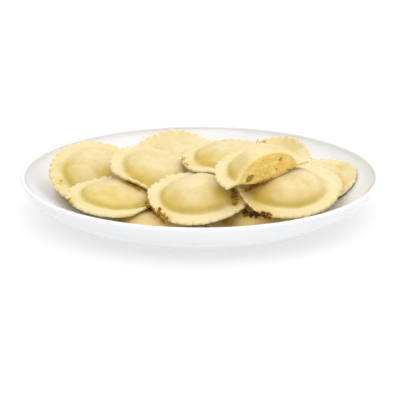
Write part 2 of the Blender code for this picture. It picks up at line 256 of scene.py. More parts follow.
def new_piece(name, mesh):
    """Put a finished mesh into the scene under its own name."""
    mesh.name = name
    return in_scene(name, mesh)


# ---- node trees


class Tree:
    """A node tree under construction."""

    def __init__(self, tree):
        self.tree = tree

    def add(self, kind, inputs=None, **settings):
        """Add a node, with its settings and what its sockets take in."""
        node = self.tree.nodes.new(kind)
        for key, value in settings.items():
            setattr(node, key, value)
        for key, value in (inputs or {}).items():
            self.feed(value, node.inputs[key])
        return node

    def feed(self, value, socket):
        """Link another socket's value, or set a constant."""
        if isinstance(value, bpy.types.NodeSocket):
            self.tree.links.new(value, socket)
        else:
            socket.default_value = value

    def calc(self, operation, *values):
        return self.add("ShaderNodeMath", dict(enumerate(values)), operation=operation).outputs[0]

    def times(self, first, *others):
        for other in others:
            first = self.calc("MULTIPLY", first, other)
        return first

    def plus(self, first, second):
        return self.calc("ADD", first, second)

    def minus(self, first, second):
        return self.calc("SUBTRACT", first, second)

    def power(self, base, exponent):
        return self.calc("POWER", base, exponent)

    def spread(self, value, low, high, to_low=0.0, to_high=1.0):
        """Stretch a range of a value smoothly over another range, clamped."""
        ends = {"From Min": low, "From Max": high, "To Min": to_low, "To Max": to_high}
        node = self.add("ShaderNodeMapRange", {"Value": value, **ends}, interpolation_type="SMOOTHSTEP")
        return node.outputs["Result"]


class Finish(Tree):
    """A Principled material under construction."""

    def __init__(self, name):
        self.material = bpy.data.materials.new(name)
        self.material.use_nodes = True
        super().__init__(self.material.node_tree)
        self.shader = self.tree.nodes["Principled BSDF"]
        self.place = self.add("ShaderNodeTexCoord").outputs["Object"]

    def set(self, **values):
        """Set constants on the shader's own sockets, or link what varies to them."""
        for key, value in values.items():
            self.feed(value, self.shader.inputs[key.replace("_", " ")])

    def grain(self, scale, detail=3.0, roughness=0.55):
        """A noise pattern, so many to the metre."""
        sizes = {"Scale": scale, "Detail": detail, "Roughness": roughness}
        return self.add("ShaderNodeTexNoise", {"Vector": self.place, **sizes}).outputs["Fac"]

    def cloud(self, scale, low, high, detail=3.0, roughness=0.55):
        """A noise pattern with its middle range stretched from 0 to 1."""
        return self.spread(self.grain(scale, detail, roughness), low, high)

    def mask(self, name):
        """A number stored on the piece."""
        return self.add("ShaderNodeAttribute", attribute_name=name).outputs["Fac"]

    def blend(self, share, first, second):
        """Blend two colours, either of which can be another blend."""
        node = self.add("ShaderNodeMix", {"Factor": share}, data_type="RGBA")
        colours = [socket for socket in node.inputs if socket.type == "RGBA"]
        for colour, socket in zip((first, second), colours):
            self.feed((*colour, 1.0) if isinstance(colour, tuple) else colour, socket)
        return [socket for socket in node.outputs if socket.type == "RGBA"][0]

    def relief(self, height, distance, strength=1.0):
        sizes = {"Height": height, "Distance": distance, "Strength": strength}
        self.set(Normal=self.add("ShaderNodeBump", sizes).outputs["Normal"])


def porcelain():
    """White glazed porcelain, with the faint ripple of its glaze."""
    finish = Finish("white_porcelain_glaze")
    cloud = finish.cloud(28.0, 0.35, 0.65, 2.0)
    finish.set(
        Base_Color=finish.blend(cloud, (0.85, 0.855, 0.87), (0.87, 0.875, 0.887)),
        Roughness=finish.spread(finish.grain(60.0), 0.3, 0.7, 0.10, 0.17),
        Specular_IOR_Level=0.5,
        Subsurface_Weight=0.1,
        Subsurface_Scale=0.002,
        Subsurface_Radius=(1.0, 1.0, 1.0),
    )
    finish.relief(finish.grain(180.0, 2.0), 0.00006, 0.5)
    return finish.material


def dough():
    """Cooked egg dough: pale on the domes and the edge, with painted golden shade on the low side of
    each dome, in its creases and in the dents, and brown butter round the crumbs, darkened as painted
    shade in the gaps.
    """
    finish = Finish("cooked_egg_dough")
    mottle = finish.cloud(130.0, 0.34, 0.66, 4.0, 0.6)
    patches = finish.cloud(48.0, 0.35, 0.65, 2.0)
    body = finish.blend(mottle, (0.728, 0.583, 0.288), (0.784, 0.662, 0.388))
    # Painted shade: the low side of each dome, its creases and its dents get darker golden tones; near
    # the crumbs the dough turns to brown butter, darkened further as painted shade in the gaps. The
    # stain is the filling's own colour.
    layers = (
        ("side", mottle, (0.70, 0.545, 0.195), (0.725, 0.575, 0.23)),
        ("border", patches, (0.765, 0.642, 0.33), (0.79, 0.685, 0.40)),
        ("crease", mottle, (0.56, 0.40, 0.075), (0.60, 0.44, 0.095)),
        ("dent_shade", mottle, (0.63, 0.45, 0.05), (0.68, 0.50, 0.07)),
        ("stain", mottle, (0.80, 0.62, 0.23), (0.83, 0.66, 0.28)),
        ("butter_and_gap_shade", mottle, (0.64, 0.39, 0.025), (0.74, 0.52, 0.05)),
    )
    for name, grain, darker, lighter in layers:
        body = finish.blend(finish.mask(name), body, finish.blend(grain, darker, lighter))
    finish.set(
        Base_Color=body,
        Roughness=finish.spread(finish.grain(300.0), 0.3, 0.7, 0.36, 0.52),
        Specular_IOR_Level=0.32,
        Subsurface_Weight=finish.spread(finish.mask("stain"), 0.0, 0.7, 0.75, 0.1),
        Subsurface_Scale=0.002,
        Subsurface_Radius=(1.0, 0.68, 0.34),
    )
    fine = finish.times(finish.grain(900.0), 0.35)
    finish.relief(finish.plus(finish.grain(260.0, 4.0), fine), 0.0004, 0.5)
    return finish.material


def stuffing():
    """Orange-yellow filling, soft and grainy."""
    finish = Finish("squash_and_cheese_filling")
    crumbs = finish.cloud(420.0, 0.36, 0.64, 4.0, 0.65)
    warm = finish.blend(crumbs, (0.85, 0.51, 0.095), (0.90, 0.63, 0.15))
    light = finish.blend(crumbs, (0.90, 0.62, 0.14), (0.94, 0.73, 0.25))
    body = finish.blend(finish.cloud(150.0, 0.38, 0.66), warm, light)
    finish.set(
        Base_Color=finish.blend(finish.cloud(1500.0, 0.70, 0.76, 2.0), body, (0.45, 0.25, 0.05)),
        Roughness=finish.spread(crumbs, 0.0, 1.0, 0.5, 0.38),
        Subsurface_Weight=0.5,
        Subsurface_Scale=0.003,
        Subsurface_Radius=(1.0, 0.5, 0.15),
    )
    fine = finish.times(finish.grain(1800.0), 0.4)
    finish.relief(finish.plus(finish.grain(500.0, 4.0), fine), 0.0006, 0.7)
    return finish.material


def herb():
    """Chopped cooked herb, olive brown and moist."""
    finish = Finish("cooked_herb")
    veins = finish.cloud(900.0, 0.35, 0.65)
    finish.set(
        Base_Color=finish.blend(veins, (0.20, 0.13, 0.02), (0.42, 0.29, 0.06)),
        Roughness=finish.spread(finish.grain(600.0), 0.3, 0.7, 0.35, 0.6),
        Specular_IOR_Level=0.3,
        Subsurface_Weight=0.2,
        Subsurface_Scale=0.001,
    )
    finish.relief(finish.grain(1400.0), 0.0003, 0.6)
    return finish.material


def browned_crumb():
    """Browned crumbs and herb fallen from the pan, almost black to golden brown; the almost black ones
    also stand in for the deep shade of the gaps, as painted shade.
    """
    finish = Finish("browned_crumb")
    fleck = finish.cloud(700.0, 0.35, 0.65)
    dark = finish.blend(fleck, (0.065, 0.032, 0.008), (0.17, 0.085, 0.02))
    russet = finish.blend(fleck, (0.44, 0.20, 0.03), (0.64, 0.35, 0.06))
    olive = finish.blend(fleck, (0.36, 0.27, 0.06), (0.55, 0.43, 0.13))
    tone = finish.mask("tone")
    body = finish.blend(finish.spread(tone, 0.0, 0.5), dark, russet)
    finish.set(
        Base_Color=finish.blend(finish.spread(tone, 0.6, 1.0), body, olive),
        Roughness=finish.spread(finish.grain(500.0), 0.3, 0.7, 0.35, 0.6),
        Specular_IOR_Level=0.25,
        Subsurface_Weight=0.15,
        Subsurface_Scale=0.001,
    )
    finish.relief(finish.grain(1600.0), 0.0002, 0.6)
    return finish.material


def table_top():
    """Plain matt white."""
    finish = Finish("plain_white")
    cloud = finish.cloud(3.0, 0.3, 0.7, 2.0)
    finish.set(
        Base_Color=finish.blend(cloud, (0.46, 0.46, 0.46), (0.47, 0.47, 0.47)),
        Roughness=0.9,
        Specular_IOR_Level=0.1,
        Emission_Color=(1.0, 1.0, 1.0, 1.0),
        Emission_Strength=FLOOR_GLOW,
    )
    return finish.material


# ---- patterns


class Pattern(Tree):
    """A Geometry Nodes tree with named inputs, run once for each mesh that it makes."""

    KINDS = {int: "Int", float: "Float", bpy.types.Material: "Material", type(None): "Object"}

    def __init__(self, name, sizes):
        """Each input starts at its given value. None stands for an object that make() gives."""
        super().__init__(bpy.data.node_groups.new(name, "GeometryNodeTree"))
        self.sockets = {}
        self.values = sizes
        for label, value in sizes.items():
            kind = "NodeSocket" + self.KINDS[type(value)]
            socket = self.tree.interface.new_socket(label, in_out="INPUT", socket_type=kind)
            self.sockets[label] = socket.identifier
        self.tree.interface.new_socket("Geometry", in_out="OUTPUT", socket_type="NodeSocketGeometry")
        self.given = self.tree.nodes.new("NodeGroupInput")
        self.result = self.tree.nodes.new("NodeGroupOutput")

    def size(self, label):
        """The socket that brings in one of the named sizes."""
        return self.given.outputs[label]

    def divided(self, first, second):
        return self.calc("DIVIDE", first, second)

    def point(self, x, y, z):
        return self.add("ShaderNodeCombineXYZ", {"X": x, "Y": y, "Z": z}).outputs[0]

    def parts(self, vector):
        """A vector's three numbers."""
        return self.add("ShaderNodeSeparateXYZ", {"Vector": vector}).outputs[:3]

    def tube(self, steps_across, ends):
        """An upright tube of radius 1 from -1 to 1, and the place of each point on it."""
        sizes = {"Vertices": self.size("Steps Around"), "Side Segments": steps_across}
        tube = self.add(
            "GeometryNodeMeshCylinder", {**sizes, "Radius": 1.0, "Depth": 2.0}, fill_type=ends
        )
        place = self.add("GeometryNodeInputPosition").outputs[0]
        return tube.outputs["Mesh"], *self.parts(place)

    def moved(self, geometry, x, y, z):
        """Bring every point to a new place."""
        inputs = {"Geometry": geometry, "Position": self.point(x, y, z)}
        return self.add("GeometryNodeSetPosition", inputs).outputs[0]

    def marked(self, geometry, name, value):
        """Store a number at every point."""
        inputs = {"Geometry": geometry, "Name": name, "Value": value}
        settings = {"data_type": "FLOAT", "domain": "POINT"}
        return self.add("GeometryNodeStoreNamedAttribute", inputs, **settings).outputs[0]

    def named(self, name, kind="FLOAT"):
        """A value stored on the geometry."""
        return self.add("GeometryNodeInputNamedAttribute", {"Name": name}, data_type=kind).outputs[0]

    def chance(self, low, high):
        """Three random numbers for each point."""
        inputs = {"Min": low, "Max": high, "Seed": self.size("Seed")}
        return self.add("FunctionNodeRandomValue", inputs, data_type="FLOAT_VECTOR").outputs[0]

    def lump(self):
        """A small uneven lump, one unit across."""
        ball = self.add("GeometryNodeMeshUVSphere", {"Radius": 0.5, "Segments": 8, "Rings": 5})
        uneven = self.add("ShaderNodeTexNoise", {"Scale": 3.0, "Detail": 1.0}).outputs["Color"]
        centred = {0: uneven, 1: (0.5, 0.5, 0.5)}
        shift = self.add("ShaderNodeVectorMath", centred, operation="SUBTRACT").outputs[0]
        inputs = {"Geometry": ball.outputs[0], "Offset": shift}
        return self.add("GeometryNodeSetPosition", inputs).outputs[0]

    def scattered(self, points, facing, length, turns, sizes):
        """A lump on each point, turned and stretched by chance within the given ends."""
        inputs = {"Rotation": facing, "Rotate By": self.chance(*turns)}
        turned = self.add("FunctionNodeRotateRotation", inputs, rotation_space="LOCAL")
        inputs = {0: self.chance(*sizes), "Scale": length}
        grown = self.add("ShaderNodeVectorMath", inputs, operation="SCALE")
        return self.add("GeometryNodeInstanceOnPoints", {
            "Points": points,
            "Instance": self.lump(),
            "Rotation": turned.outputs[0],
            "Scale": grown.outputs[0],
        }).outputs[0]

    def finish(self, geometry):
        """End the tree in real, smooth geometry with its material."""
        smooth = self.add("GeometryNodeSetShadeSmooth", {"Geometry": geometry})
        real = self.add("GeometryNodeRealizeInstances", {"Geometry": smooth.outputs[0]})
        inputs = {"Geometry": real.outputs[0], "Material": self.size("Material")}
        dressed = self.add("GeometryNodeSetMaterial", inputs)
        self.tree.links.new(dressed.outputs[0], self.result.inputs[0])

    def make(self, name, **changes):
        """Run the tree and return the plain mesh that it makes."""
        holder = in_scene(name, bpy.data.meshes.new(name + "_start"))
        modifier = holder.modifiers.new("pattern", "NODES")
        modifier.node_group = self.tree
        for label, value in self.values.items():
            modifier[self.sockets[label]] = changes.get(label.replace(" ", "_"), value)
        return plain_mesh(holder)


def raviolo_pattern(material):
    """A raviolo by rule: a tube's rows run from the underside's middle, round the fluted
    edge, to the top of the dome."""
    pattern = Pattern("pressed_raviolo", {
        "Border Radius": BORDER_RADIUS,
        "Border Thickness": BORDER_THICKNESS,
        "Dome Radius": DOME_RADIUS,
        "Dome Height": FULL_DOME_HEIGHT,
        "Belly Radius": 21.0 * MM,
        "Belly Depth": BELLY_DEPTH,
        "Teeth": 36,
        "Tooth Depth": 1.2 * MM,
        "Tooth Band": TOOTH_BAND,
        "Flute Height": 0.30 * MM,
        "Crease Softness": 0.9 * MM,
        "Crease Depth": 0.35 * MM,
        "Crease Width": 1.4 * MM,
        "Crease Offset": 1.045,
        "Middle Radius": 0.12 * MM,
        "Steps Around": 288,
        "Steps Across": 64,
        "Material": material,
    })
    calc, size, times, plus = pattern.calc, pattern.size, pattern.times, pattern.plus
    minus, power, divided = pattern.minus, pattern.power, pattern.divided
    tube, x, y, z = pattern.tube(size("Steps Across"), "TRIANGLE_FAN")
    inward = power(calc("ABSOLUTE", z), ROW_POWER)
    plain = calc("MAXIMUM", times(size("Border Radius"), minus(1.0, inward)), size("Middle Radius"))

    teeth = times(calc("ARCTAN2", y, x), size("Teeth"))
    tooth = power(calc("ABSOLUTE", calc("COSINE", times(teeth, 0.5))), TOOTH_POWER)
    band = minus(size("Border Radius"), size("Tooth Band"))
    outer = pattern.spread(plain, band, size("Border Radius"))
    radius = minus(plain, times(size("Tooth Depth"), minus(1.0, tooth), outer))

    half = times(size("Border Thickness"), 0.5)
    near_edge = calc("MINIMUM", divided(minus(size("Border Radius"), plain), half), 1.0)
    bow = minus(1.0, near_edge)
    wall = times(half, calc("SQRT", minus(1.0, times(bow, bow))))

    share = divided(plain, size("Dome Radius"))
    rise = times(size("Dome Height"), minus(1.0, power(share, DOME_SHOULDER)))
    soft = calc("SQRT", plus(power(rise, 2.0), power(size("Crease Softness"), 2.0)))
    soft = times(plus(rise, soft), 0.5)
    dome = times(size("Dome Height"), power(divided(soft, size("Dome Height")), DOME_FOOT))
    foot = times(size("Dome Radius"), size("Crease Offset"))
    off = divided(minus(plain, foot), size("Crease Width"))
    groove = times(size("Crease Depth"), calc("EXPONENT", times(off, off, -1.0)))
    top = minus(plus(wall, dome), groove)

    belly_share = calc("MINIMUM", divided(plain, size("Belly Radius")), 1.0)
    belly = times(size("Belly Depth"), minus(1.0, power(belly_share, BELLY_SHOULDER)))
    bottom = times(plus(wall, belly), -1.0)

    is_top = calc("GREATER_THAN", z, 0.0)
    is_bottom = calc("LESS_THAN", z, 0.0)
    flute = times(size("Flute Height"), calc("COSINE", teeth), outer)
    height = plus(plus(times(top, is_top), times(bottom, is_bottom)), flute)
    shaped = pattern.moved(tube, times(radius, x), times(radius, y), height)
    shaped = pattern.marked(shaped, "reach", divided(plain, size("Border Radius")))
    pattern.finish(pattern.marked(shaped, "upper", is_top))
    return pattern


def pillow_pattern(material):
    """The pillow of filling inside a raviolo, and the slightly smaller room it lies in."""
    pattern = Pattern("filling_pillow", {
        "Radius": DOME_RADIUS - SHEET_THICKNESS,
        "Rise": HALF_BORDER + FULL_DOME_HEIGHT - SHEET_THICKNESS,
        "Drop": HALF_BORDER + BELLY_DEPTH - SHEET_THICKNESS,
        "Middle Share": 0.01,
        "Steps Around": 120,
        "Steps Across": 48,
        "Material": material,
    })
    calc, size, times = pattern.calc, pattern.size, pattern.times
    minus, power = pattern.minus, pattern.power
    tube, x, y, z = pattern.tube(size("Steps Across"), "TRIANGLE_FAN")
    inward = power(calc("ABSOLUTE", z), FILLING_ROW_POWER)
    share = calc("MAXIMUM", minus(1.0, inward), size("Middle Share"))
    swell = power(minus(1.0, power(share, DOME_SHOULDER)), FILLING_FOOT)
    up = times(swell, size("Rise"), calc("GREATER_THAN", z, 0.0))
    down = times(swell, size("Drop"), calc("LESS_THAN", z, 0.0))
    radius = times(share, size("Radius"))
    pattern.finish(pattern.moved(tube, times(radius, x), times(radius, y), minus(up, down)))
    return pattern


def plate_section(pattern):
    """The half section of the plate, from the middle of the well to the middle beneath,
    as where it starts and, for each curve, its two pulls and its end, all out and up."""
    size, times, plus, minus = pattern.size, pattern.times, pattern.plus, pattern.minus
    well_out, well_up = size("Well Radius"), size("Well Height")
    rim_out, rim_up = size("Radius"), size("Height")
    lip = times(size("Rim Thickness"), 0.5)
    lip_in = minus(rim_out, size("Rim Thickness"))
    lip_out = minus(rim_out, lip)
    lip_up = minus(rim_up, lip)
    pull = times(lip, ROUND_PULL)
    foot, recess = size("Foot Radius"), size("Foot Recess")
    foot_in = minus(foot, size("Foot Width"))
    foot_slope = minus(foot_in, FOOT_SLOPE)
    foot_out = minus(foot, FOOT_SHOULDER)
    inner, outer = INNER_WALL_PULLS, OUTER_WALL_PULLS
    near, far = LEVEL_PULLS
    edge_pull, flat_pull, leave, arrive = FOOT_PULLS
    return (0.0, well_up), (
        ((times(well_out, near), well_up), (times(well_out, far), well_up), (well_out, well_up)),
        (inner[0], inner[1], (lip_in, lip_up)),
        ((lip_in, plus(lip_up, pull)), (minus(lip_out, pull), rim_up), (lip_out, rim_up)),
        ((plus(lip_out, pull), rim_up), (rim_out, plus(lip_up, pull)), (rim_out, lip_up)),
        (outer[0], outer[1], (foot, FOOT_SHOULDER)),
        ((foot, FOOT_SHOULDER - edge_pull), (plus(foot_out, edge_pull), 0.0), (foot_out, 0.0)),
        ((minus(foot_out, flat_pull), 0.0), (plus(foot_in, flat_pull), 0.0), (foot_in, 0.0)),
        ((minus(foot_in, leave), 0.0), (plus(foot_slope, arrive), recess), (foot_slope, recess)),
        ((times(foot_slope, far), recess), (times(foot_slope, near), recess), (0.0, recess)),
    )


def plate_pattern(material):
    """The coupe plate: a half section of curves, turned about the upright axis."""
    pattern = Pattern("turned_plate", {
        "Radius": 110.0 * MM,
        "Height": 27.0 * MM,
        "Rim Thickness": 3.4 * MM,
        "Well Radius": 58.0 * MM,
        "Well Height": 4.4 * MM,
        "Foot Radius": 66.0 * MM,
        "Foot Width": 4.0 * MM,
        "Foot Recess": 1.6 * MM,
        "Curve Steps": 64,
        "Steps Around": 240,
        "Steps Per Curve": 18,
        "Material": material,
    })
    calc, size, times = pattern.calc, pattern.size, pattern.times
    start, rows = plate_section(pattern)
    start = pattern.point(start[0], 0.0, start[1])
    curves = []
    for row in rows:
        first_pull, last_pull, end = (pattern.point(out, 0.0, up) for out, up in row)
        curves.append(pattern.add("GeometryNodeCurvePrimitiveBezierSegment", {
            "Resolution": size("Curve Steps"),
            "Start": start,
            "Start Handle": first_pull,
            "End Handle": last_pull,
            "End": end,
        }, mode="POSITION").outputs[0])
        start = end
    section = pattern.add("GeometryNodeJoinGeometry")
    for curve in reversed(curves):
        pattern.feed(curve, section.inputs[0])

    count = len(curves)
    tube, x, y, z = pattern.tube(times(size("Steps Per Curve"), float(count)), "NONE")
    along = times(pattern.plus(z, 1.0), count / 2)
    whole = calc("MINIMUM", calc("FLOOR", pattern.plus(along, 0.0001)), count - 1.0)
    sample = pattern.add("GeometryNodeSampleCurve", mode="FACTOR", use_all_curves=False)
    pattern.feed(section.outputs[0], sample.inputs["Curves"])
    pattern.feed(pattern.minus(along, whole), sample.inputs["Factor"])
    pattern.feed(whole, sample.inputs["Curve Index"])
    out, _, up = pattern.parts(sample.outputs["Position"])
    turned = pattern.moved(tube, times(out, x), times(out, y), up)
    inputs = {"Geometry": turned, "Distance": 0.01 * MM}
    pattern.finish(pattern.add("GeometryNodeMergeByDistance", inputs).outputs[0])
    return pattern


def flake_pattern(material):
    """Chopped herb scattered over the cut face of the filling."""
    pattern = Pattern("chopped_herb", {
        "Over": None,
        "Bits Per Square Metre": 34000.0,
        "Bit Length": 1.1 * MM,
        "Seed": 4,
        "Material": material,
    })
    over = pattern.add("GeometryNodeObjectInfo", {"Object": pattern.size("Over")})
    spots = pattern.add("GeometryNodeDistributePointsOnFaces", {
        "Mesh": over.outputs["Geometry"],
        "Selection": pattern.calc("GREATER_THAN", pattern.named("cut_face"), 0.9),
        "Seed": pattern.size("Seed"),
        "Density": pattern.size("Bits Per Square Metre"),
    })
    pattern.finish(pattern.scattered(
        spots.outputs["Points"],
        spots.outputs["Rotation"],
        pattern.size("Bit Length"),
        turns=((0, 0, -BIT_TURN), (0.3, 0.3, BIT_TURN)),
        sizes=((0.35, 0.25, 0.12), (1.1, 0.6, 0.25)),
    ))
    return pattern


def crumb_pattern(material):
    """Browned crumbs, one on each point of a cloud, flat on whatever is under it."""
    pattern = Pattern("browned_crumbs", {"Cloud": None, "Seed": CRUMB_SEED, "Material": material})
    cloud = pattern.add("GeometryNodeObjectInfo", {"Object": pattern.size("Cloud")})
    facing = {"Vector": pattern.named("facing", "FLOAT_VECTOR")}
    upright = pattern.add("FunctionNodeAlignRotationToVector", facing, axis="Z")
    pattern.finish(pattern.scattered(
        cloud.outputs["Geometry"],
        upright.outputs[0],
        pattern.named("length"),
        turns=((-0.5, -0.5, -BIT_TURN), (0.5, 0.5, BIT_TURN)),
        sizes=((0.6, 0.35, 0.25), (1.3, 0.8, 0.5)),
    ))
    return pattern


# ---- meshes


def turn_outward(mesh):
    """Make a closed mesh's faces point outwards."""
    bm = bmesh.new()
    bm.from_mesh(mesh)
    bmesh.ops.recalc_face_normals(bm, faces=bm.faces)
    if bm.calc_volume(signed=True) < 0:
        bmesh.ops.reverse_faces(bm, faces=bm.faces)
    bm.to_mesh(mesh)
    bm.free()


def places(mesh):
    """A mesh's vertices as an array."""
    numbers = np.empty(len(mesh.vertices) * 3)
    mesh.vertices.foreach_get("co", numbers)
    return numbers.reshape(-1, 3)


def set_places(mesh, points):
    mesh.vertices.foreach_set("co", np.ascontiguousarray(points).ravel())
    mesh.update()


def stored(mesh, name):
    """A number stored at each vertex."""
    numbers = np.empty(len(mesh.vertices))
    mesh.attributes[name].data.foreach_get("value", numbers)
    return numbers


def store(mesh, name, numbers):
    """Store a number at each vertex."""
    attribute = mesh.attributes.new(name, "FLOAT", "POINT")
    attribute.data.foreach_set("value", np.ascontiguousarray(numbers, float))


def passing(name, value):
    """How far each value has passed through a band, from 0 to 1, smoothly."""
    low, high = BANDS[name]
    share = np.clip((value - low) / (high - low), 0.0, 1.0)
    return share * share * (3 - 2 * share)


def bell(distance):
    """One where the distance is nothing, and falling away smoothly."""
    return np.exp(-(distance ** 2))


def rolling(points, length, seed, octaves=2):
    """Smooth noise from -1 to 1 at each point, in waves of about the given length."""
    offset = Vector((seed * 7.31, seed * 3.17, seed * 5.77))
    values = []
    for point in points:
        spot = Vector(point) / length + offset
        total = noise.noise(spot)
        for octave in range(1, octaves):
            total += noise.noise(spot * 2.1 ** octave) * 0.5 ** octave
        values.append(total)
    return np.array(values)


def waves(name, points, seed=0):
    """The rise and fall of one kind of unevenness at each point."""
    length, height, own_seed, octaves = WAVES[name]
    return rolling(points, length, seed + own_seed, octaves) * height


def modified(mesh, material, *steps):
    """Run modifiers on a mesh and return the plain result in its material."""
    holder = in_scene("holder", mesh)
    for kind, settings in steps:
        modifier = holder.modifiers.new(kind, kind)
        for key, value in settings.items():
            setattr(modifier, key, value)
    result = plain_mesh(holder)
    result.materials.clear()
    result.materials.append(material)
    result.shade_smooth()
    return result


def softened(mesh, material):
    """Draw a cut mesh afresh in fine even faces, with its edges eased."""
    return modified(
        mesh,
        material,
        ("REMESH", {"mode": "VOXEL", "voxel_size": CUT_GRAIN}),
        ("SMOOTH", {"factor": 0.5, "iterations": CUT_SOFTENING}),
    )


# ---- laying


def merged(solid):
    """A solid's corners, each once, and their order by how many edges meet there."""
    bm = bmesh.new()
    bm.from_mesh(solid.data)
    bmesh.ops.remove_doubles(bm, verts=bm.verts, dist=WELD)
    points = [vertex.co.copy() for vertex in bm.verts]
    edges = [len(vertex.link_edges) for vertex in bm.verts]
    bm.free()
    return points, sorted(range(len(points)), key=lambda index: -edges[index])


def oval_waves(turns):
    """The plain circle, the shift and the oval that an outline is fitted with."""
    rows = [np.ones_like(turns)]
    for lobes in (1, 2):
        rows += [np.cos(lobes * turns), np.sin(lobes * turns)]
    return np.stack(rows, 1)


class Lie:
    """How a raviolo lies: its frame, and the run of its border, read off its solid."""

    def __init__(self, solid, inner, sheet):
        """The solid's two middle corners, of its dome and its belly, have the most edges."""
        points, order = merged(inner)
        first, second = points[order[0]], points[order[1]]
        low, high = (first, second) if first.z < second.z else (second, first)
        self.up = (high - low).normalized()
        self.dome = (high - low).length - 2 * HALF_BORDER - BELLY_DEPTH + 2 * sheet
        self.middle = low + self.up * (HALF_BORDER + BELLY_DEPTH - sheet)
        east = Vector((1, 0, 0))
        self.right = (east - self.up * east.dot(self.up)).normalized()
        self.away = self.up.cross(self.right)
        # The painted shade on the dome turns this way: between where the raviolo leans down and
        # SHADE_SIDE, away from the light.
        drop = Vector((-self.right.z, -self.away.z)) * LEAN_PULL
        drop += Vector((SHADE_SIDE.dot(self.right), SHADE_SIDE.dot(self.away)))
        self.downhill = math.atan2(drop.y, drop.x)
        self.read_border(merged(solid)[0])

    def local(self, point):
        apart = point - self.middle
        return Vector((apart.dot(self.right), apart.dot(self.away), apart.dot(self.up)))

    def read_border(self, points):
        """The border's outline and its rise in each direction, from the solid's teeth."""
        spots = [self.local(point) for point in points]
        teeth = [spot for spot in spots if spot.to_2d().length > BORDER_RADIUS - TOOTH_BAND]
        angles = np.array([math.atan2(spot.y, spot.x) for spot in teeth])
        rises = np.array([spot.z for spot in teeth])
        reaches = np.array([spot.to_2d().length for spot in teeth])
        self.turns = np.linspace(-math.pi, math.pi, BORDER_DIRECTIONS)
        self.rise = np.zeros(BORDER_DIRECTIONS)
        reach = np.zeros(BORDER_DIRECTIONS)
        for index, turn in enumerate(self.turns):
            apart = np.abs((angles - turn + math.pi) % math.tau - math.pi)
            weight = bell(apart / BORDER_SPAN) + 1e-9 * np.exp(-apart)
            self.rise[index] = (rises * weight).sum() / weight.sum()
            reach[index] = (reaches * weight).sum() / weight.sum()
        tips = reaches > np.interp(angles, self.turns, reach)
        fit = np.linalg.lstsq(oval_waves(angles)[tips], reaches[tips], rcond=None)[0]
        self.reach = oval_waves(self.turns) @ fit

    def lay(self, mesh):
        """Bring a mesh from the raviolo's own frame to where it lies, facing outwards."""
        turned = places(mesh) @ np.array([self.right, self.away, self.up])
        set_places(mesh, turned + np.array(self.middle))
        turn_outward(mesh)


def dent_distances(points, dents):
    """For each dent, how far every point lies from its middle in widths, and its depth."""
    for direction, spot, width, depth in dents:
        heading = math.radians(direction)
        centre = np.array([math.cos(heading), math.sin(heading)]) * spot * BORDER_RADIUS
        yield np.hypot(points[:, 0] - centre[0], points[:, 1] - centre[1]) / (width * MM), depth


def press(mesh, lie, seed, dents):
    """Give the regular pattern one raviolo's own size, lumps, wrinkles, dents and bends."""
    points = places(mesh)
    reach = stored(mesh, "reach")
    upper = stored(mesh, "upper")
    angle = np.arctan2(points[:, 1], points[:, 0])
    edge = passing("teeth", reach)
    rim = np.stack([np.cos(angle), np.sin(angle), np.zeros_like(angle)], 1) * BORDER_RADIUS
    turn = edge * rolling(rim, TOOTH_TURN_WAVE, seed + TOOTH_TURN_SEED) * TOOTH_TURN
    nip = edge * waves("nip", rim, seed)
    points[:, :2] = np.stack([
        points[:, 0] * np.cos(turn) - points[:, 1] * np.sin(turn),
        points[:, 0] * np.sin(turn) + points[:, 1] * np.cos(turn),
    ], 1) * (1 + nip / BORDER_RADIUS)[:, None]
    scale = np.interp(angle, lie.turns, lie.reach) / BORDER_RADIUS
    radius = np.hypot(points[:, 0], points[:, 1])
    share = radius / DOME_RADIUS
    points[:, :2] *= (1 + (scale - 1) * passing("oval", reach))[:, None]

    on_dome = 1 - passing("off_dome", share)
    near_foot = bell((radius - DOME_RADIUS) / PUCKER_BAND)
    out = passing("on_border", share)
    swell = waves("swell", points, seed)
    spokes = np.stack([np.cos(angle), np.sin(angle), radius / PUCKER_RUN], 1) * PUCKER_RING
    pucker = waves("pucker", spokes, seed)
    slack = waves("slack", points * [1, 1, 0.4], seed)
    fine = waves("fine", points, seed)
    points[:, 2] += upper * (swell * on_dome + pucker * (near_foot + 0.5 * out) + slack + fine)
    points[:, 2] += out * waves("flutter", points * [1, 1, 0], seed)

    for apart, depth in dent_distances(points, dents):
        points[:, 2] -= upper * depth * MM * bell(apart)

    free = np.clip((radius - DOME_RADIUS) / (BORDER_RADIUS - DOME_RADIUS), 0, 1)
    points[:, 2] += free ** BEND_POWER * np.interp(angle, lie.turns, lie.rise)
    return points


def masks(points, lie, dents):
    """Where the dough's colours change: the dome's sides, border, creases and dent pockets; the low
    sides, the creases and the dents carry painted shade.
    """
    upper = (points[:, 2] > 0).astype(float)
    radius = np.hypot(points[:, 0], points[:, 1])
    share = radius / DOME_RADIUS
    angle = np.arctan2(points[:, 1], points[:, 0])
    low = passing("downhill", np.cos(angle - lie.downhill))
    on_dome = upper * (1 - passing("dome_colour_ends", share))
    dent_shade = np.zeros_like(radius)
    for apart, depth in dent_distances(points, dents):
        dent_shade = np.maximum(dent_shade, DENT_SHADE_STRENGTH * min(1.0, depth) * bell(apart) * upper)
    at_crease = bell((radius - DOME_RADIUS * CREASE_SHARE) / CREASE_BAND)
    return {
        "side": passing("dome_side", share) * on_dome * (SIDE_LEAST + (1 - SIDE_LEAST) * low),
        "border": passing("border_colour", share),
        "crease": at_crease * (CREASE_LEAST + (1 - CREASE_LEAST) * low),
        "dent_shade": dent_shade,
        "stain": np.zeros_like(radius),
    }


# ---- the open raviolo


